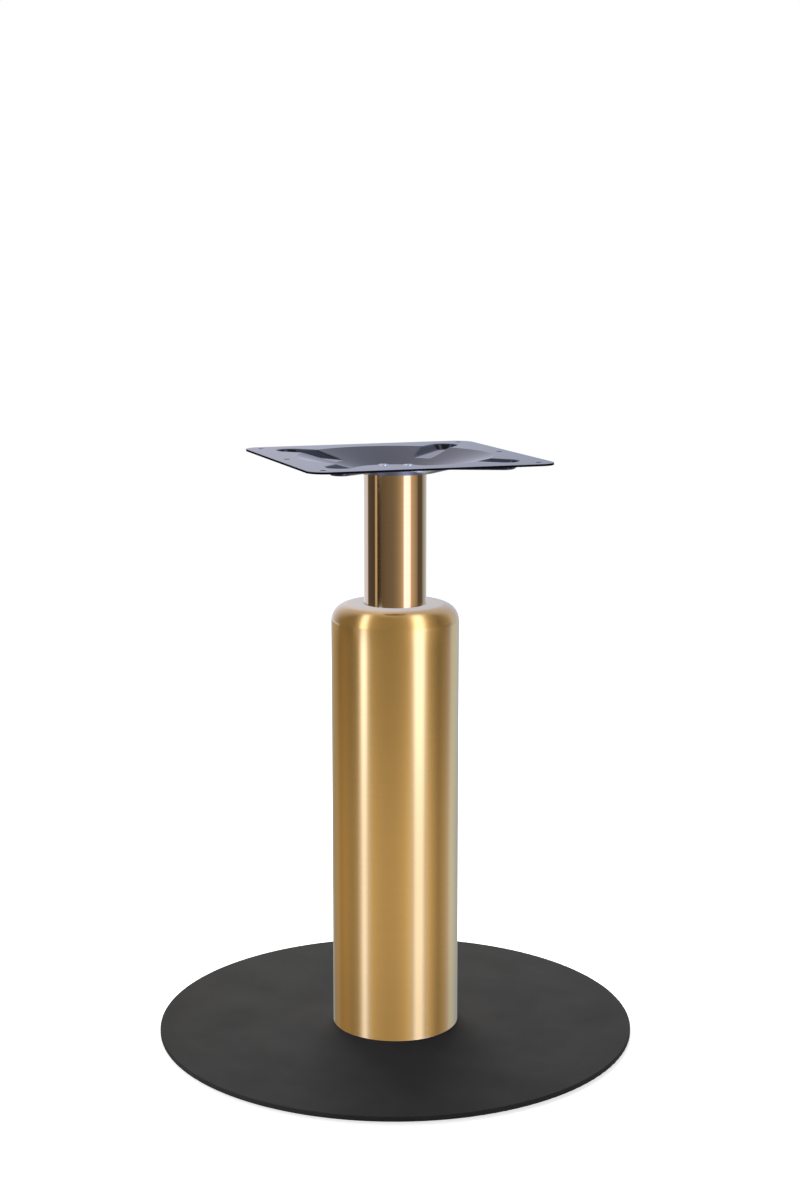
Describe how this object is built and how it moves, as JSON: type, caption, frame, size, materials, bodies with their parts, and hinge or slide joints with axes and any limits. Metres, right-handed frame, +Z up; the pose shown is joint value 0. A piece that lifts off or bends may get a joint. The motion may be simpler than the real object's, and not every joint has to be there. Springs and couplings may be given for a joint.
{
  "type": "pedestal table base",
  "caption": "Pedestal table base: flat round floor disc, wide brass cover sleeve with a rounded shoulder, slim brass post and a square pressed-steel top plate with a dish and diagonal beads.",
  "frame": {"origin": "on the column's axis, on the floor under the pads", "axes": "+Z up along the column; X and Y along the top plate's sides, with the side screw holes on X"},
  "size_m": [0.5899, 0.59, 0.72],
  "materials": {
    "disc_coat": "fine-textured matt black powder coat",
    "plate_coat": "smooth satin black powder coat",
    "cover_brass": "brass, brushed round the column, clear lacquer",
    "post_brass": "brass, satin polished, clear lacquer",
    "raw_steel": "bare mild steel",
    "zinc_screw": "zinc plated",
    "pad_rubber": "matt black rubber"
  },
  "bodies": {
    "root": {"base_plate": "disc_coat", "base_screws": "zinc_screw", "post_flange": "raw_steel", "foot_weld": "raw_steel", "post_tube": "post_brass", "post_cap": "raw_steel", "cap_weld": "raw_steel", "column_cover": "cover_brass", "top_plate": "plate_coat", "plate_screws": "zinc_screw", "floor_pad_1": "pad_rubber", "floor_pad_2": "pad_rubber", "floor_pad_3": "pad_rubber", "floor_pad_4": "pad_rubber", "floor_pad_5": "pad_rubber", "floor_pad_6": "pad_rubber"}
  },
  "joints": []
}
